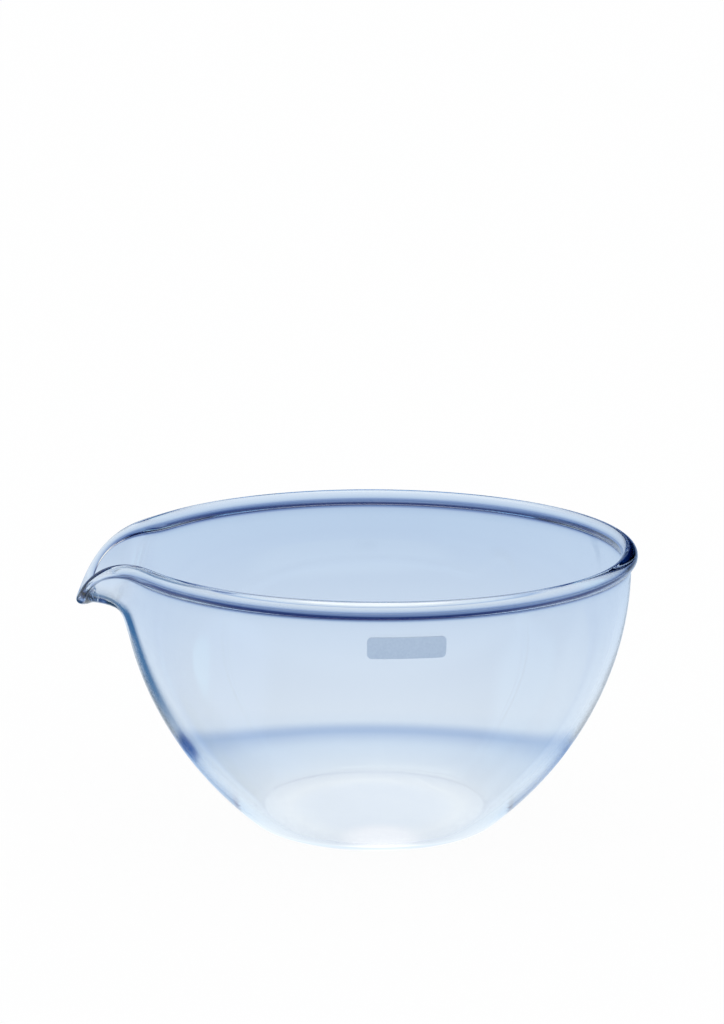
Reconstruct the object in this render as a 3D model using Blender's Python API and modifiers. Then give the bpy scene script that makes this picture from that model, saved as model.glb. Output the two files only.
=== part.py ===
import math

import bmesh
import bpy
from mathutils import Matrix, Vector

# Overall sizes of the dish, in metres. The foot stands on z = 0 and the spout points along -X.
RIM_DIAMETER = 0.1400
HEIGHT = 0.0765
FOOT_DIAMETER = 0.0588

# Borosilicate glass
WALL_THICKNESS = 0.0020
FLOOR_THICKNESS = 0.0030
GLASS_IOR = 1.47

# Curve of the wall: an arc off the foot, then one long curve that ends upright under the bead
HEEL_RADIUS = 0.0075
HEEL_ANGLE = math.radians(39.7)
BELLY_PULL = 0.0220
SHOULDER_PULL = 0.0313

# Fire-polished bead round the rim
BEAD_DIAMETER = 0.0046
BEAD_STANDS_INSIDE = 0.0008
FILLET_INSIDE = 0.0003
FILLET_OUTSIDE = 0.0008

# Pouring spout, pulled out of the soft rim
SPOUT_REACH = 0.0105
SPOUT_DROP = 0.0127
SPOUT_THROAT = 0.0098
SPOUT_MOUTH = 0.0446
SPOUT_GROOVE = 0.0321
SPOUT_DIRECTION = math.radians(180)

# Shape of the pull: how square its plan and its groove are, how late the wall bends outwards and
# downwards on its way up, and the share of the bead's overhang that the stretching takes away
MOUTH_SQUARENESS = 3.2
GROOVE_SQUARENESS = 2.6
OUTWARD_BEND = 4.3
DOWNWARD_BEND = 1.4
BEAD_STRETCH = 0.2

# Plain enamel field for pencil notes, on the front wall
SPOT_WIDTH = 0.0200
SPOT_HEIGHT = 0.0056
SPOT_THICKNESS = 0.0003
SPOT_CORNER = 0.0012
SPOT_BELOW_BEAD = 0.0095
SPOT_DIRECTION = math.radians(-83.3)
TOUCHING_GAP = 0.0003

# Fineness of the facets, which crowd towards the spout and towards the rim
TURN_STEPS = 96
TURN_CROWDING = 0.45
WALL_POINTS = 16
WALL_CROWDING = 1.4
HEEL_POINTS = 4
BEAD_POINTS = 12
FILLET_POINTS = 3
SPOT_COLUMNS = 10
SPOT_ROWS = 3
CORNER_STEPS = 3
SHARP_EDGE = math.radians(40)
WELD_DISTANCE = 0.00001

# Sizes that follow from those above
BEAD_RADIUS = BEAD_DIAMETER / 2
RIM_LINE = RIM_DIAMETER / 2 - BEAD_RADIUS
RIM_LEVEL = HEIGHT - BEAD_RADIUS
WALL_INSIDE = RIM_LINE - BEAD_RADIUS + BEAD_STANDS_INSIDE
WALL_OUTSIDE = WALL_INSIDE + WALL_THICKNESS
WALL_MIDDLE = (WALL_INSIDE + WALL_OUTSIDE) / 2
SPOUT_ROOT = SPOUT_DROP + SPOUT_THROAT


def arc(centre, radius, start, end, count):
    """Points of an arc in the section plane, both ends included."""
    points = []
    for step in range(count):
        angle = start + (end - start) * step / (count - 1)
        points.append(centre + radius * Vector((math.cos(angle), math.sin(angle))))
    return points


def bezier(start, start_handle, end_handle, end, count):
    """Points of a cubic curve, closer together towards its end."""
    points = []
    for step in range(count):
        left = (1 - step / (count - 1)) ** WALL_CROWDING
        done = 1 - left
        near_start = left**3 * start + 3 * left**2 * done * start_handle
        near_end = 3 * left * done**2 * end_handle + done**3 * end
        points.append(near_start + near_end)
    return points


def outer_wall(top):
    """Outer line of the wall from the edge of the flat foot up to the given level."""
    heel_centre = Vector((FOOT_DIAMETER / 2, HEEL_RADIUS))
    down = math.radians(-90)
    heel = arc(heel_centre, HEEL_RADIUS, down, down + HEEL_ANGLE, HEEL_POINTS)
    start = heel[-1]
    end = Vector((WALL_OUTSIDE, top))
    lower_handle = start + BELLY_PULL * Vector((math.cos(HEEL_ANGLE), math.sin(HEEL_ANGLE)))
    upper_handle = end - Vector((0, SHOULDER_PULL))
    return heel + bezier(start, lower_handle, upper_handle, end, WALL_POINTS)[1:]


def inner_wall(outer):
    """The outer line moved in by the glass, which thins from the floor to the rim."""
    inner = []
    last = len(outer) - 1
    for index, point in enumerate(outer):
        along = outer[min(index + 1, last)] - outer[max(index - 1, 0)]
        if index == 0:
            along = Vector((1, 0))
        if index == last:
            along = Vector((0, 1))
        inward = Vector((-along.y, along.x)).normalized()
        thinning = (1 - index / last) ** 2
        inner.append(point + inward * (WALL_THICKNESS + (FLOOR_THICKNESS - WALL_THICKNESS) * thinning))
    return inner


def fillet_drop(wall_offset, fillet):
    """How far under the bead's centre a fillet meets a wall that stands this far from that centre."""
    square = (BEAD_RADIUS + fillet) ** 2 - (wall_offset + fillet) ** 2
    return math.sqrt(max(square, 0))


def wall_top():
    """Level where the wall's curve ends, a short straight run under the lower of the bead's two fillets."""
    outside = fillet_drop(WALL_OUTSIDE - RIM_LINE, FILLET_OUTSIDE)
    inside = fillet_drop(RIM_LINE - WALL_INSIDE, FILLET_INSIDE)
    return RIM_LEVEL - max(outside, inside) - FILLET_INSIDE


def dish_section():
    """Half section of the plain dish: inside from the axis to the bead, then down the outside to the foot."""
    bead_centre = Vector((RIM_LINE, RIM_LEVEL))
    outer_offset = WALL_OUTSIDE - RIM_LINE
    inner_offset = RIM_LINE - WALL_INSIDE
    outer_drop = fillet_drop(outer_offset, FILLET_OUTSIDE)
    inner_drop = fillet_drop(inner_offset, FILLET_INSIDE)
    outer_centre = bead_centre + Vector((outer_offset + FILLET_OUTSIDE, -outer_drop))
    inner_centre = bead_centre - Vector((inner_offset + FILLET_INSIDE, inner_drop))
    outer_angle = math.atan2(-outer_drop, outer_offset + FILLET_OUTSIDE)
    inner_angle = math.atan2(-inner_drop, -inner_offset - FILLET_INSIDE) + math.tau

    outer = outer_wall(wall_top())
    inner = inner_wall(outer)
    bead = arc(bead_centre, BEAD_RADIUS, inner_angle, outer_angle, BEAD_POINTS)
    inner_fillet = arc(inner_centre, FILLET_INSIDE, 0, inner_angle - math.pi, FILLET_POINTS)
    outer_fillet = arc(outer_centre, FILLET_OUTSIDE, outer_angle + math.pi, math.pi, FILLET_POINTS)
    section = [Vector((0, FLOOR_THICKNESS))] + inner
    section += inner_fillet[:-1] + bead + outer_fillet[1:]
    section += outer[::-1] + [Vector((0, 0))]
    return section


def crowd_to_spout(point):
    """Slides a point round the axis, so that the turned facets are narrower near the spout."""
    turn = math.atan2(point.y, point.x) - SPOUT_DIRECTION
    slide = -TURN_CROWDING * math.sin(turn)
    return Matrix.Rotation(slide, 3, "Z") @ point


def pull_spout(point):
    """Where a point of the plain dish goes when the rim is pulled out and pressed down into a spout."""
    radius = math.hypot(point.x, point.y)
    depth = RIM_LEVEL - point.z
    if depth >= SPOUT_ROOT:
        return point
    turn = math.atan2(point.y, point.x) - SPOUT_DIRECTION
    aside = abs(math.remainder(turn, math.tau)) * RIM_LINE
    pulled = math.exp(-((2 * aside / SPOUT_MOUTH) ** MOUTH_SQUARENESS))
    pressed = math.exp(-((2 * aside / SPOUT_GROOVE) ** GROOVE_SQUARENESS))
    outwards = SPOUT_REACH * pulled
    downwards = SPOUT_DROP * pressed

    climb = 1 - max(depth, 0) / SPOUT_ROOT
    moved_out = outwards * climb**OUTWARD_BEND
    moved_down = downwards * climb**DOWNWARD_BEND
    leaning_out = outwards * OUTWARD_BEND * climb ** (OUTWARD_BEND - 1)
    rising = SPOUT_ROOT - downwards * DOWNWARD_BEND * climb ** (DOWNWARD_BEND - 1)
    lean = math.atan2(leaning_out, rising)

    overhang = max(radius - WALL_OUTSIDE, 0)
    across = Vector((radius - overhang * BEAD_STRETCH * pulled - WALL_MIDDLE, max(-depth, 0)))
    across.rotate(Matrix.Rotation(-lean, 2))
    new_radius = WALL_MIDDLE + moved_out + across.x
    new_height = RIM_LEVEL - max(depth, 0) - moved_down + across.y
    return Vector((point.x / radius * new_radius, point.y / radius * new_radius, new_height))


def material(name, colour, roughness, transmission):
    surface = bpy.data.materials.new(name)
    surface.use_nodes = True
    shader = surface.node_tree.nodes["Principled BSDF"]
    shader.inputs["Base Color"].default_value = colour
    shader.inputs["Roughness"].default_value = roughness
    shader.inputs["Transmission Weight"].default_value = transmission
    shader.inputs["IOR"].default_value = GLASS_IOR
    return surface


def add_object(name, mesh, surface, collection):
    mesh.materials.append(surface)
    mesh.shade_smooth()
    mesh.set_sharp_from_angle(angle=SHARP_EDGE)
    part = bpy.data.objects.new(name, mesh)
    collection.objects.link(part)
    return part


def turned_mesh(name, section, collection):
    """The section turned once round the Z axis, as a mesh."""
    line = bpy.data.meshes.new(name + "_section")
    edges = [(index, index + 1) for index in range(len(section) - 1)]
    line.from_pydata([(point.x, 0, point.y) for point in section], edges, [])
    blank = bpy.data.objects.new(name + "_blank", line)
    collection.objects.link(blank)
    screw = blank.modifiers.new("Turn", "SCREW")
    screw.steps = TURN_STEPS
    screw.render_steps = TURN_STEPS
    screw.use_merge_vertices = True
    screw.merge_threshold = WELD_DISTANCE
    graph = bpy.context.evaluated_depsgraph_get()
    mesh = bpy.data.meshes.new_from_object(blank.evaluated_get(graph))
    mesh.name = name
    bpy.data.objects.remove(blank)
    return mesh


def make_dish(collection):
    mesh = turned_mesh("dish", dish_section(), collection)
    for vertex in mesh.vertices:
        vertex.co = pull_spout(crowd_to_spout(vertex.co))
    glass = material("borosilicate_glass", (0.90, 0.95, 1.0, 1.0), 0.02, 1.0)
    return add_object("dish", mesh, glass, collection)


def wall_radius_at(height):
    """Outer radius of the plain wall at a level, between two points of the section."""
    outer = outer_wall(wall_top())
    for low, high in zip(outer, outer[1:]):
        if low.y <= height <= high.y:
            return low.x + (high.x - low.x) * (height - low.y) / (high.y - low.y)
    return WALL_OUTSIDE


def make_marking_spot(dish, collection):
    """A thin plate with rounded corners, laid round the wall."""
    shape = bmesh.new()
    bmesh.ops.create_grid(shape, x_segments=SPOT_COLUMNS, y_segments=SPOT_ROWS, size=0.5)
    bmesh.ops.scale(shape, vec=(SPOT_WIDTH, SPOT_HEIGHT, 1), verts=shape.verts)
    corners = [vertex for vertex in shape.verts if len(vertex.link_faces) == 1]
    bmesh.ops.bevel(
        shape, geom=corners, offset=SPOT_CORNER, segments=CORNER_STEPS, profile=0.5, affect="VERTICES"
    )
    for vertex in shape.verts:
        height = RIM_LEVEL - SPOT_BELOW_BEAD + vertex.co.y
        turn = SPOT_DIRECTION + vertex.co.x / WALL_OUTSIDE
        radius = wall_radius_at(height) + TOUCHING_GAP
        vertex.co = (radius * math.cos(turn), radius * math.sin(turn), height)
    mesh = bpy.data.meshes.new("marking_spot")
    shape.to_mesh(mesh)
    shape.free()
    enamel = material("fired_enamel", (0.62, 0.70, 0.80, 1.0), 0.45, 0.0)
    spot = add_object("marking_spot", mesh, enamel, collection)
    spot.parent = dish
    plate = spot.modifiers.new("Coat", "SOLIDIFY")
    plate.thickness = SPOT_THICKNESS
    plate.offset = 1
    return spot


def main():
    for old in list(bpy.data.objects):
        bpy.data.objects.remove(old)
    collection = bpy.data.collections.new("spouted_dish")
    bpy.context.scene.collection.children.link(collection)
    dish = make_dish(collection)
    make_marking_spot(dish, collection)


main()
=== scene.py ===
import math

import bpy
from mathutils import Matrix, Quaternion, Vector


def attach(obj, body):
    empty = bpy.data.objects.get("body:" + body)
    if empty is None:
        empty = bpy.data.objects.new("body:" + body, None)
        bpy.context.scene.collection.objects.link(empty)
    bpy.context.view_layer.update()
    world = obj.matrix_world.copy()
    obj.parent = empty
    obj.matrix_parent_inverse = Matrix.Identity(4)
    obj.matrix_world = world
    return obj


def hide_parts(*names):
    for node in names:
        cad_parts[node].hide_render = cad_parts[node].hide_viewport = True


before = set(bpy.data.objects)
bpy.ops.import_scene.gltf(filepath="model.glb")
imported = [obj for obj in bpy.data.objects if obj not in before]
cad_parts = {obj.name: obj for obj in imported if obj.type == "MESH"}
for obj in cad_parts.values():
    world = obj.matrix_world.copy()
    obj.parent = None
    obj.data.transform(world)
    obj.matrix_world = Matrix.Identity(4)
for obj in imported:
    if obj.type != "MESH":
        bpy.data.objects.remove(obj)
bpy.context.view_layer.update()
scene = bpy.context.scene
print("frame loaded")


def hexToLinear(hexColour):
    channels = [int(hexColour[i:i + 2], 16) / 255 for i in (1, 3, 5)]
    return tuple(c / 12.92 if c <= 0.04045 else ((c + 0.055) / 1.055) ** 2.4 for c in channels) + (1.0,)


# One node with its settings, its socket values and its links, each given by name or number.
def addNode(tree, kind, settings=None, values=None, links=None):
    node = tree.nodes.new(kind)
    for name, value in (settings or {}).items():
        setattr(node, name, value)
    for socket, value in (values or {}).items():
        node.inputs[socket].default_value = value
    for socket, source in (links or {}).items():
        tree.links.new(source, node.inputs[socket])
    return node


def newMaterial(name):
    material = bpy.data.materials.new(name)
    material.use_nodes = True
    material.node_tree.nodes.clear()
    return material


# The same measurements as the solid, in metres, then the flame polish and the fineness of the mesh.
dish = {
    "height": 0.0765,
    "rimDiameter": 0.1400,
    "footDiameter": 0.0588,
    "wall": 0.0020,
    "floor": 0.0030,
    "heel": 0.0075,  # radius between the foot and the wall, outside
    "heelAngle": math.radians(39.7),  # how steep the wall is where it leaves the heel
    "bellyPull": 0.0220,
    "shoulderPull": 0.0313,
    "bead": 0.0046,
    "beadInside": 0.0008,  # how far the bead stands in over the wall
    "filletInside": 0.0003,  # under the bead
    "filletOutside": 0.0008,
    "polishInside": 12,  # rounds of softening where the bead runs into the wall
    "polishOutside": 12,
    "polishMargin": 4,  # points of the wall that take part in it
    "turnSteps": 300,
    "crowding": 0.45,  # draws the turns together at the spout
    "heelPoints": 12,
    "wallPoints": 52,
    "beadPoints": 40,
    "filletPoints": 7,
    "flatRings": 6,
    "flatSupport": 0.0004,  # last ring of the flat floor, which keeps its shading level
    "heelShare": 1 / 6,  # share of the thinning that lies in the heel
    "wallCrowding": 1.4,  # draws the points of the wall together at the rim
    "searchRounds": 24,  # halvings when a place on the wall's curve is looked up
    "weld": 0.000002,
}

spout = {
    "direction": math.pi,
    "reach": 0.0105,
    "drop": 0.0127,
    "throat": 0.0098,
    "mouth": 0.0446,
    "groove": 0.0321,
    "mouthSquareness": 3.2,
    "grooveSquareness": 2.6,
    "outwardBend": 4.3,
    "downwardBend": 1.4,
    "beadStretch": 0.2,
    "lipThinning": 0.9,  # share of the bead that the pull draws away along the two lips
    "tipKept": 0.75,  # share of that which stays at the tip
    "thinningFade": 0.0080,  # how far below the bead the glass follows
}

beadRadius = dish["bead"] / 2
rimLine = dish["rimDiameter"] / 2 - beadRadius
rimLevel = dish["height"] - beadRadius
wallInside = rimLine - beadRadius + dish["beadInside"]
wallOutside = wallInside + dish["wall"]
wallMiddle = (wallInside + wallOutside) / 2
spoutRoot = spout["drop"] + spout["throat"]
beadFoot = beadRadius + dish["filletOutside"]  # how far under its middle the bead runs into the wall


def arcPoints(centre, radius, start, end, count):
    angles = [start + (end - start) * i / (count - 1) for i in range(count)]
    return [centre + radius * Vector((math.cos(a), math.sin(a))) for a in angles]


# How far under the bead's centre a fillet meets a wall that stands this far from that centre.
def filletDrop(wallOffset, fillet):
    return math.sqrt(max((beadRadius + fillet) ** 2 - (wallOffset + fillet) ** 2, 0))


# The arc under the edge of the flat foot.
def heelArc():
    centre = Vector((dish["footDiameter"] / 2, dish["heel"]))
    down = -math.pi / 2
    return arcPoints(centre, dish["heel"], down, down + dish["heelAngle"], dish["heelPoints"])


# The wall's outside is one curve from the heel to the bead: its two ends, with the handles between them.
def wallHandles():
    lower = max(filletDrop(wallOutside - rimLine, dish["filletOutside"]),
                filletDrop(rimLine - wallInside, dish["filletInside"]))
    start = heelArc()[-1]
    end = Vector((wallOutside, rimLevel - lower - dish["filletInside"]))
    slope = Vector((math.cos(dish["heelAngle"]), math.sin(dish["heelAngle"])))
    return start, start + dish["bellyPull"] * slope, end - Vector((0, dish["shoulderPull"])), end


wallCurve = wallHandles()


# A place on that curve, from 0 at the heel to 1 under the bead.
def wallPoint(done):
    left = 1 - done
    start, startHandle, endHandle, end = wallCurve
    return (left ** 3 * start + 3 * left ** 2 * done * startHandle
            + 3 * left * done ** 2 * endHandle + done ** 3 * end)


# Outer radius of the plain wall at a depth under the bead's middle.
def wallRadius(depth):
    low, high = 0.0, 1.0
    for halving in range(dish["searchRounds"]):
        middle = (low + high) / 2
        if wallPoint(middle).y < rimLevel - depth:
            low = middle
        else:
            high = middle
    return wallPoint(low).x


# The outer line from the edge of the flat foot up to the bead's fillet, and the glass thickness along it.
def outerLine():
    heel = heelArc()
    wall = []
    shares = [dish["heelShare"] * i / (len(heel) - 1) for i in range(len(heel))]
    for i in range(1, dish["wallPoints"]):
        climbed = i / (dish["wallPoints"] - 1)
        wall.append(wallPoint(1 - (1 - climbed) ** dish["wallCrowding"]))
        shares.append(dish["heelShare"] + (1 - dish["heelShare"]) * climbed)
    thickness = [dish["wall"] + (dish["floor"] - dish["wall"]) * (1 - share) ** 2 for share in shares]
    return heel + wall, thickness


def innerLine(outer, thickness):
    inner = []
    last = len(outer) - 1
    for i, point in enumerate(outer):
        along = outer[min(i + 1, last)] - outer[max(i - 1, 0)]
        if i == 0:
            along = Vector((1, 0))
        if i == last:
            along = Vector((0, 1))
        inner.append(point + Vector((-along.y, along.x)).normalized() * thickness[i])
    return inner


# The flame evens out the corners of a line between two of its points.
def polishLine(points, start, end, rounds):
    for softening in range(rounds):
        points = [(points[i - 1] + 2 * points[i] + points[i + 1]) / 4 if start < i < end else points[i]
                  for i in range(len(points))]
    return points


# Half section of the plain dish: out along the floor, up the inside, over the bead, down the outside.
def dishSection():
    beadCentre = Vector((rimLine, rimLevel))
    outerFillet, innerFillet = dish["filletOutside"], dish["filletInside"]
    outerOffset = wallOutside - rimLine
    innerOffset = rimLine - wallInside
    outerDrop = filletDrop(outerOffset, outerFillet)
    innerDrop = filletDrop(innerOffset, innerFillet)
    outerAngle = math.atan2(-outerDrop, outerOffset + outerFillet)
    innerAngle = math.atan2(-innerDrop, -innerOffset - innerFillet) + math.tau
    outerCentre = beadCentre + Vector((outerOffset + outerFillet, -outerDrop))
    innerCentre = beadCentre - Vector((innerOffset + innerFillet, innerDrop))

    outer, thickness = outerLine()
    inner = innerLine(outer, thickness)
    shares = [math.sqrt(i / dish["flatRings"]) for i in range(dish["flatRings"])]
    floor = [Vector((inner[0].x * share, dish["floor"])) for share in shares]
    floor.append(inner[0] - Vector((dish["flatSupport"], 0)))
    foot = [Vector((outer[0].x * share, 0)) for share in shares]
    foot.append(outer[0] - Vector((dish["flatSupport"], 0)))
    section = floor + inner
    section += arcPoints(innerCentre, innerFillet, 0, innerAngle - math.pi, dish["filletPoints"])[:-1]
    section += arcPoints(beadCentre, beadRadius, innerAngle, outerAngle, dish["beadPoints"])
    section += arcPoints(outerCentre, outerFillet, outerAngle + math.pi, math.pi, dish["filletPoints"])[1:]
    section += outer[::-1] + foot[::-1]
    first = len(floor) + len(inner) - dish["polishMargin"]
    last = len(section) - len(outer) - len(foot) + dish["polishMargin"]
    top = max(range(len(section)), key=lambda i: section[i].y)
    section = polishLine(section, first, top, dish["polishInside"])
    return polishLine(section, top, last, dish["polishOutside"])


# Where a point of the plain dish goes when the soft rim is drawn out and pressed down into a spout.
def pullSpout(point):
    radius = math.hypot(point.x, point.y)
    depth = rimLevel - point.z
    if depth >= spoutRoot:
        return point
    turn = math.atan2(point.y, point.x) - spout["direction"]
    aside = abs(math.remainder(turn, math.tau)) * rimLine
    pulled = math.exp(-((2 * aside / spout["mouth"]) ** spout["mouthSquareness"]))
    pressed = math.exp(-((2 * aside / spout["groove"]) ** spout["grooveSquareness"]))
    outwards = spout["reach"] * pulled
    downwards = spout["drop"] * pressed
    # The bead draws thin along the lips: it shrinks towards its top and towards the middle of the wall.
    thinned = spout["lipThinning"] * pulled * (1 - spout["tipKept"] * pressed ** 2)
    faded = min(max((depth - beadFoot) / spout["thinningFade"], 0), 1)
    drawnUp = thinned * (min(depth, beadFoot) + beadRadius) * (1 - faded) ** 2 * (1 + 2 * faded)
    thinRadius = radius
    if depth < beadFoot:
        bulge = max(abs(radius - wallMiddle) - dish["wall"] / 2, 0)
        thinRadius -= math.copysign(bulge * thinned, radius - wallMiddle)
    elif drawnUp > dish["weld"]:
        thinRadius += wallRadius(depth - drawnUp) - wallRadius(depth)
    depth -= drawnUp
    climb = 1 - max(depth, 0) / spoutRoot
    movedOut = outwards * climb ** spout["outwardBend"]
    movedDown = downwards * climb ** spout["downwardBend"]
    leaningOut = outwards * spout["outwardBend"] * climb ** (spout["outwardBend"] - 1)
    rising = spoutRoot - downwards * spout["downwardBend"] * climb ** (spout["downwardBend"] - 1)
    overhang = max(thinRadius - wallOutside, 0)
    across = Vector((thinRadius - overhang * spout["beadStretch"] * pulled - wallMiddle, max(-depth, 0)))
    across.rotate(Matrix.Rotation(-math.atan2(leaningOut, rising), 2))
    newRadius = wallMiddle + movedOut + across.x
    newHeight = rimLevel - max(depth, 0) - movedDown + across.y
    return Vector((point.x / radius * newRadius, point.y / radius * newRadius, newHeight))


def finishPiece(piece, material, nodeName):
    piece.data.materials.clear()
    piece.data.materials.append(material)
    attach(piece, "root")
    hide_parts(nodeName)


def makeDish():
    section = dishSection()
    bpy.ops.object.select_all(action="DESELECT")
    bpy.ops.mesh.primitive_plane_add(size=dish["wall"], location=(0, 0, 0))
    piece = bpy.context.object
    piece.name = "spoutedDish"
    bpy.ops.object.mode_set(mode="EDIT")
    bpy.ops.mesh.merge(type="CENTER")  # the plane becomes one point, which draws the section
    bpy.ops.transform.translate(value=(section[0].x, 0, section[0].y))
    for here, there in zip(section, section[1:]):
        step = there - here
        bpy.ops.mesh.extrude_region_move(TRANSFORM_OT_translate={"value": (step.x, 0, step.y)})
    bpy.ops.mesh.select_all(action="SELECT")
    bpy.ops.mesh.spin(steps=dish["turnSteps"], angle=math.tau, center=(0, 0, 0), axis=(0, 0, 1))
    bpy.ops.mesh.select_all(action="SELECT")
    bpy.ops.mesh.remove_doubles(threshold=dish["weld"])
    bpy.ops.mesh.normals_make_consistent(inside=False)
    bpy.ops.object.mode_set(mode="OBJECT")
    for vertex in piece.data.vertices:
        turn = math.atan2(vertex.co.y, vertex.co.x) - spout["direction"]
        slide = Matrix.Rotation(-dish["crowding"] * math.sin(turn), 3, "Z")
        vertex.co = pullSpout(slide @ vertex.co)
    bpy.ops.object.shade_smooth()
    return piece


# Plain enamel field for pencil notes, in metres.
spot = {
    "width": 0.0200,
    "height": 0.0056,
    "thickness": 0.00025,
    "corner": 0.0012,
    "belowBead": 0.0095,
    "direction": math.radians(-83.3),
    "offGlass": 0.00005,
    "columns": 48,
    "rows": 14,
    "sharpEdge": math.radians(40),  # steeper edges stay crisp
}


def makeSpot():
    bpy.ops.object.select_all(action="DESELECT")
    bpy.ops.mesh.primitive_grid_add(x_subdivisions=spot["columns"], y_subdivisions=spot["rows"], size=1)
    piece = bpy.context.object
    piece.name = "markingSpot"
    bpy.ops.object.mode_set(mode="EDIT")
    bpy.ops.transform.resize(value=(spot["width"], spot["height"], 1))
    bpy.ops.object.mode_set(mode="OBJECT")
    # The four corners are drawn in to an arc, and the field is then laid round the wall.
    halfWidth = spot["width"] / 2 - spot["corner"]
    halfHeight = spot["height"] / 2 - spot["corner"]
    for vertex in piece.data.vertices:
        x, y = vertex.co.x, vertex.co.y
        overX, overY = max(abs(x) - halfWidth, 0), max(abs(y) - halfHeight, 0)
        if overX > 0 and overY > 0:
            shrink = max(overX, overY) / math.hypot(overX, overY)
            x = math.copysign(halfWidth + overX * shrink, x)
            y = math.copysign(halfHeight + overY * shrink, y)
        depth = spot["belowBead"] - y
        turn = spot["direction"] + x / wallOutside
        radius = wallRadius(depth) + spot["offGlass"]
        vertex.co = (radius * math.cos(turn), radius * math.sin(turn), rimLevel - depth)
    coat = piece.modifiers.new("coat", "SOLIDIFY")
    coat.thickness = spot["thickness"]
    coat.offset = 1
    bpy.ops.object.modifier_apply(modifier="coat")
    bpy.ops.object.shade_smooth_by_angle(angle=spot["sharpEdge"])
    return piece


glassFinish = {
    "refraction": 1.47,
    "rippleSize": 0.022,  # metres
    "rippleDepth": 0.00002,
    "tint": "#9CC8E8",
    "tintDensity": 20.0,
}


# Clear borosilicate glass, pressed and fire-polished: mirror smooth with a slow ripple, and blue only where
# the eye looks a long way through it.
def borosilicateGlass():
    material = newMaterial("borosilicate glass, fire-polished")
    tree = material.node_tree
    place = addNode(tree, "ShaderNodeTexCoord")
    ripple = addNode(tree, "ShaderNodeTexNoise", {"noise_dimensions": "3D"},
                     {"Scale": 1 / glassFinish["rippleSize"], "Detail": 1.0, "Roughness": 0.4},
                     {"Vector": place.outputs["Object"]})
    bump = addNode(tree, "ShaderNodeBump", None, {"Strength": 1.0, "Distance": glassFinish["rippleDepth"]},
                   {"Height": ripple.outputs["Fac"]})
    glass = addNode(tree, "ShaderNodeBsdfPrincipled", None,
                    {"Base Color": (1, 1, 1, 1), "Roughness": 0.0, "IOR": glassFinish["refraction"],
                     "Transmission Weight": 1.0},
                    {"Normal": bump.outputs["Normal"]})
    tint = addNode(tree, "ShaderNodeVolumeAbsorption", None,
                   {"Color": hexToLinear(glassFinish["tint"]), "Density": glassFinish["tintDensity"]})
    addNode(tree, "ShaderNodeOutputMaterial", None, None,
            {"Surface": glass.outputs["BSDF"], "Volume": tint.outputs["Volume"]})
    return material


enamelFinish = {
    "darkGrain": "#BCCDDF",
    "lightGrain": "#D0DFED",
    "grainSize": 0.0006,  # metres, drawn coarser than the real grain so that it shows
    "grainDepth": 0.00004,
    "roughness": 0.55,
}


# Grey-blue enamel, screen printed and fired: dull, slightly grainy, for a pencil to hold on.
def firedEnamel():
    material = newMaterial("fired enamel, matt")
    tree = material.node_tree
    place = addNode(tree, "ShaderNodeTexCoord")
    grain = addNode(tree, "ShaderNodeTexNoise", None,
                    {"Scale": 1 / enamelFinish["grainSize"], "Detail": 3.0},
                    {"Vector": place.outputs["Object"]})
    tone = addNode(tree, "ShaderNodeValToRGB", None, None, {"Fac": grain.outputs["Fac"]})
    tone.color_ramp.elements[0].color = hexToLinear(enamelFinish["darkGrain"])
    tone.color_ramp.elements[1].color = hexToLinear(enamelFinish["lightGrain"])
    bump = addNode(tree, "ShaderNodeBump", None, {"Strength": 0.5, "Distance": enamelFinish["grainDepth"]},
                   {"Height": grain.outputs["Fac"]})
    enamel = addNode(tree, "ShaderNodeBsdfPrincipled", None,
                     {"Roughness": enamelFinish["roughness"], "IOR": 1.5},
                     {"Base Color": tone.outputs["Color"], "Normal": bump.outputs["Normal"]})
    addNode(tree, "ShaderNodeOutputMaterial", None, None, {"Surface": enamel.outputs["BSDF"]})
    return material


finishPiece(makeDish(), borosilicateGlass(), "dish")
print("dish turned and its spout pulled")
finishPiece(makeSpot(), firedEnamel(), "marking_spot")
print("marking spot laid on the wall")


# Stage: a white table, and a dark blue studio with soft panels that only the glass sees.
stage = {
    "floorSize": 12.0,
    "floorLevel": 0.0001,  # a hair over the foot, so that the glass wets the table and no dark gap shows
    "tableGlow": 1.2,  # the table that the glass sees is lit a little past white
    "shadowShare": 0.05,  # how much of the table's white can fall into shadow
    "bounces": 48,  # light runs a long way round inside the wall
}

# What the glass sees of the table, by the distance in metres from the middle of the dish. The light ring at
# 0.024 is what the bowl gathers round its foot.
tableTones = {
    0.000: "#F0F6FA", 0.018: "#F0F6FA", 0.024: "#F8FCFC", 0.030: "#ECF2F6",
    0.036: "#DDE5EB", 0.062: "#CCDAE8", 0.100: "#D4DEE8", 0.200: "#C6D4E4",
    0.400: "#AABED6", 0.800: "#7A90B8", 1.000: "#7A90B8",
}

# The bead's shadow, by the distance from its own middle, a little behind that of the dish.
beadShade = {"middle": (0, 0.006, 0)}
beadShadeTones = {
    0.000: "#FFFFFF", 0.057: "#FFFFFF", 0.066: "#E0E8F4",
    0.072: "#C0D0E8", 0.081: "#FFFFFF", 1.000: "#FFFFFF",
}

# Soft ovals painted on the table: a painted shadow streak on the spout's side and its deep near end, painted
# shade in front of the dish, and a painted pool of light under the near edge of the foot.
paintedTableShadeAndLight = [
    {"middle": (-0.145, 0.150, 0), "turn": math.radians(118), "reach": (0.200, 0.032, 1), "core": 0.45,
     "blend": "MULTIPLY", "colour": "#4A78A0"},
    {"middle": (-0.0675, 0.0200, 0), "turn": math.radians(5), "reach": (0.0100, 0.0220, 1), "core": 0.3,
     "blend": "MULTIPLY", "colour": "#4A78B8"},
    {"middle": (0.025, -0.092, 0), "turn": 0, "reach": (0.350, 0.090, 1), "core": 0.3,
     "blend": "MULTIPLY", "colour": "#C2C4D0"},
    {"middle": (0.002, -0.0245, 0), "turn": 0, "reach": (0.0145, 0.0135, 1), "core": 0.3,
     "blend": "MIX", "colour": "#FFFFFF"},
]

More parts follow.
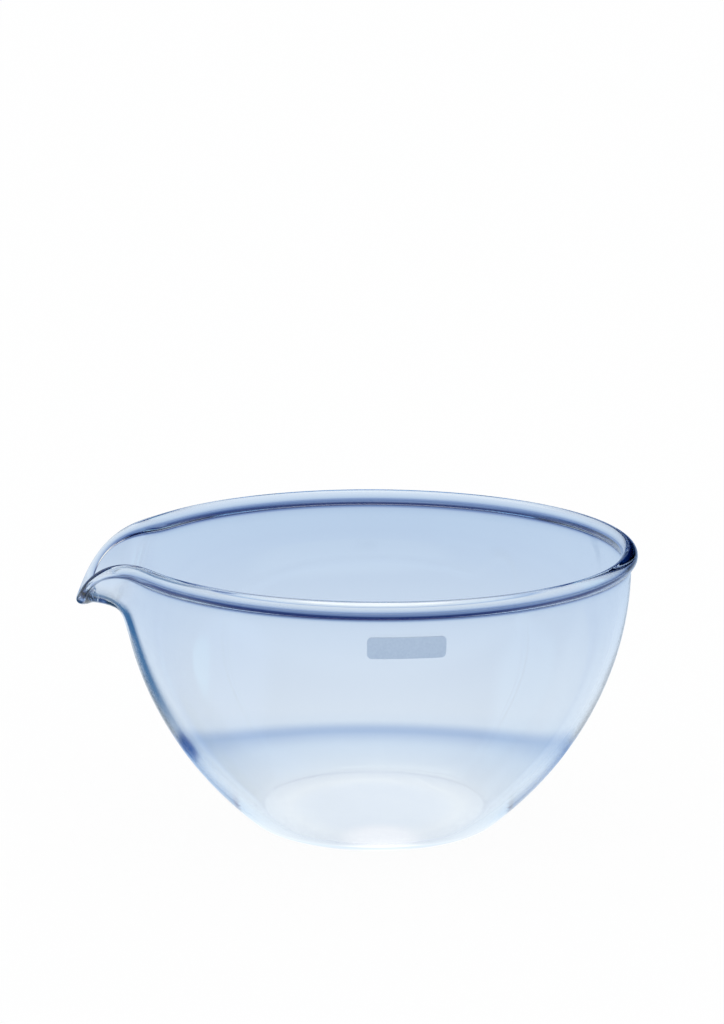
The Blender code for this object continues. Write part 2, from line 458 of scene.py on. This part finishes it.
# What the glass sees of the studio, by the sine of the elevation.
studioTones = {
    0.00: "#6680B0", 0.04: "#5876A8", 0.10: "#345490", 0.20: "#042A70", 0.40: "#002460", 0.70: "#000660",
    1.00: "#6E789C",
}

# Soft panels in the studio: degrees of azimuth from +Y towards +X and of elevation, then half the width and
# height at a distance of 1.
studioPanels = [
    {"azimuth": -37, "elevation": 5, "reach": (0.55, 0.45), "colour": "#A0B0C8"},  # behind on the left
    {"azimuth": -45, "elevation": 63, "reach": (0.32, 0.30), "colour": "#FFFFF8"},  # high behind on the left
    {"azimuth": 83, "elevation": 26, "reach": (0.65, 0.30), "colour": "#889CC8"},  # on the right
    {"azimuth": 167, "elevation": 5, "reach": (1.30, 0.18), "colour": "#B0C0D0"},  # wide, behind the camera
    {"azimuth": 66, "elevation": 16, "reach": (0.27, 0.08), "colour": "#A4DCF4"},  # strip on the right
    {"azimuth": 1, "elevation": -10, "reach": (0.12, 0.57), "colour": "#6C86B4"},  # upright, straight behind
    {"azimuth": -74, "elevation": 25, "reach": (0.54, 0.28), "colour": "#A6C2DC"},  # on the left
    {"azimuth": 48, "elevation": 52, "reach": (0.42, 0.27), "colour": "#8296C0"},  # high behind on the right
    {"azimuth": 9, "elevation": 70, "reach": (0.20, 0.10), "colour": "#FFFFFF"},  # overhead
    {"azimuth": 22, "elevation": 9, "reach": (0.34, 0.16), "colour": "#020408"},  # dark card behind
]
panelDepth = 0.7  # half the depth of a panel along the way to it
panelCore = 0.5  # share of a panel before its edge fades


def fillRamp(ramp, tones):
    places = sorted(tones)
    ramp.elements[0].position = places[0]
    ramp.elements[0].color = hexToLinear(tones[places[0]])
    ramp.elements[1].position = places[-1]
    ramp.elements[1].color = hexToLinear(tones[places[-1]])
    for place in places[1:-1]:
        ramp.elements.new(place).color = hexToLinear(tones[place])


# Share of a soft-edged oval: 1 inside its core, 0 outside its reach.
def softOval(tree, vector, middle, turn, reach, core):
    laid = addNode(tree, "ShaderNodeMapping", {"vector_type": "TEXTURE"},
                   {"Location": middle, "Rotation": (0, 0, turn), "Scale": reach}, {"Vector": vector})
    far = addNode(tree, "ShaderNodeVectorMath", {"operation": "LENGTH"}, None, {0: laid.outputs["Vector"]})
    share = addNode(tree, "ShaderNodeMapRange", {"interpolation_type": "SMOOTHERSTEP"},
                    {"From Min": 1.0, "From Max": core}, {"Value": far.outputs["Value"]})
    return share.outputs["Result"]


# A colour ramp laid out in rings round a point.
def ringTones(tree, vector, middle, tones):
    offset = addNode(tree, "ShaderNodeVectorMath", {"operation": "SUBTRACT"}, {1: middle}, {0: vector})
    far = addNode(tree, "ShaderNodeVectorMath", {"operation": "LENGTH"}, None, {0: offset.outputs["Vector"]})
    ramp = addNode(tree, "ShaderNodeValToRGB", None, None, {"Fac": far.outputs["Value"]})
    fillRamp(ramp.color_ramp, tones)
    return ramp.outputs["Color"]


def tableSurface():
    material = newMaterial("white table")
    tree = material.node_tree
    place = addNode(tree, "ShaderNodeTexCoord").outputs["Object"]
    tones = ringTones(tree, place, (0, 0, 0), tableTones)
    shadow = ringTones(tree, place, beadShade["middle"], beadShadeTones)
    colour = addNode(tree, "ShaderNodeMix", {"data_type": "RGBA", "blend_type": "MULTIPLY"}, {0: 1.0},
                     {6: tones, 7: shadow}).outputs[2]
    # The painted shadows, shade and pool of light are laid over the table's tones.
    for patch in paintedTableShadeAndLight:
        share = softOval(tree, place, patch["middle"], patch["turn"], patch["reach"], patch["core"])
        colour = addNode(tree, "ShaderNodeMix", {"data_type": "RGBA", "blend_type": patch["blend"]},
                         {7: hexToLinear(patch["colour"])}, {0: share, 6: colour}).outputs[2]
    path = addNode(tree, "ShaderNodeLightPath")
    behindGlass = addNode(tree, "ShaderNodeEmission", None, {"Strength": stage["tableGlow"]},
                          {"Color": colour})
    white = addNode(tree, "ShaderNodeEmission", None, {"Color": (1, 1, 1, 1), "Strength": 1.0})
    board = addNode(tree, "ShaderNodeBsdfDiffuse", None, {"Color": (1, 1, 1, 1)})
    lit = addNode(tree, "ShaderNodeMixShader", None, {"Fac": stage["shadowShare"]},
                  {1: white.outputs["Emission"], 2: board.outputs["BSDF"]})
    seen = addNode(tree, "ShaderNodeMixShader", None, None,
                   {"Fac": path.outputs["Is Camera Ray"], 1: behindGlass.outputs["Emission"],
                    2: lit.outputs["Shader"]})
    addNode(tree, "ShaderNodeOutputMaterial", None, None, {"Surface": seen.outputs["Shader"]})
    return material


def makeTable():
    bpy.ops.object.select_all(action="DESELECT")
    bpy.ops.mesh.primitive_plane_add(size=stage["floorSize"], location=(0, 0, 0))
    table = bpy.context.object
    table.name = "table"
    bpy.ops.object.mode_set(mode="EDIT")
    bpy.ops.transform.translate(value=(0, 0, stage["floorLevel"]))
    bpy.ops.object.mode_set(mode="OBJECT")
    table.data.materials.append(tableSurface())


def makeStudio():
    world = bpy.data.worlds.new("studio")
    scene.world = world
    world.use_nodes = True
    tree = world.node_tree
    tree.nodes.clear()
    place = addNode(tree, "ShaderNodeTexCoord")
    axes = addNode(tree, "ShaderNodeSeparateXYZ", None, None, {"Vector": place.outputs["Generated"]})
    tones = addNode(tree, "ShaderNodeValToRGB", None, None, {"Fac": axes.outputs["Z"]})
    fillRamp(tones.color_ramp, studioTones)
    colour = tones.outputs["Color"]
    for panel in studioPanels:
        azimuth, elevation = math.radians(panel["azimuth"]), math.radians(panel["elevation"])
        level = math.cos(elevation)
        middle = (math.sin(azimuth) * level, math.cos(azimuth) * level, math.sin(elevation))
        reach = (panel["reach"][0], panelDepth, panel["reach"][1])
        share = softOval(tree, place.outputs["Generated"], middle, -azimuth, reach, panelCore)
        colour = addNode(tree, "ShaderNodeMix", {"data_type": "RGBA"}, {7: hexToLinear(panel["colour"])},
                         {0: share, 6: colour}).outputs[2]
    path = addNode(tree, "ShaderNodeLightPath")
    studio = addNode(tree, "ShaderNodeBackground", None, {"Strength": 1.0}, {"Color": colour})
    white = addNode(tree, "ShaderNodeBackground", None, {"Color": (1, 1, 1, 1), "Strength": 1.0})
    plain = addNode(tree, "ShaderNodeMath", {"operation": "MAXIMUM"}, None,
                    {0: path.outputs["Is Camera Ray"], 1: path.outputs["Diffuse Depth"]})
    seen = addNode(tree, "ShaderNodeMixShader", None, None,
                   {"Fac": plain.outputs["Value"], 1: studio.outputs["Background"],
                    2: white.outputs["Background"]})
    addNode(tree, "ShaderNodeOutputWorld", None, None, {"Surface": seen.outputs["Shader"]})


makeTable()
makeStudio()
print("stage set")


# Camera: the rim's centre falls on a pixel of the 724 by 1024 picture.
view = {
    "picture": (724, 1024),
    "distance": 0.9478,
    "elevation": math.radians(12.90),
    "lens": 124.68,
    "sensor": 36.0,
    "rimPixel": (375.7, 550.0),
    "roll": math.radians(0.348),
}


def makeCamera():
    bpy.ops.object.select_all(action="DESELECT")
    back = Vector((0, -math.cos(view["elevation"]), math.sin(view["elevation"])))
    bpy.ops.object.camera_add(location=Vector((0, 0, rimLevel)) + back * view["distance"])
    camera = bpy.context.object
    camera.data.lens = view["lens"]
    camera.data.sensor_width = view["sensor"]
    focus = view["lens"] / view["sensor"] * view["picture"][1]  # in pixels
    aside = (view["rimPixel"][0] - view["picture"][0] / 2) / focus
    below = (view["rimPixel"][1] - view["picture"][1] / 2) / focus
    turned = (-back).to_track_quat("-Z", "Y")
    turned = turned @ Quaternion((0, 0, 1), view["roll"])
    turned = turned @ Quaternion((1, 0, 0), math.atan2(below, math.hypot(1, aside)))
    turned = turned @ Quaternion((0, 1, 0), math.atan(aside))
    camera.rotation_euler = turned.to_euler()
    scene.camera = camera


makeCamera()
scene.view_settings.view_transform = "Standard"
scene.cycles.max_bounces = stage["bounces"]
scene.cycles.glossy_bounces = stage["bounces"]
scene.cycles.transmission_bounces = stage["bounces"]
print("camera placed")
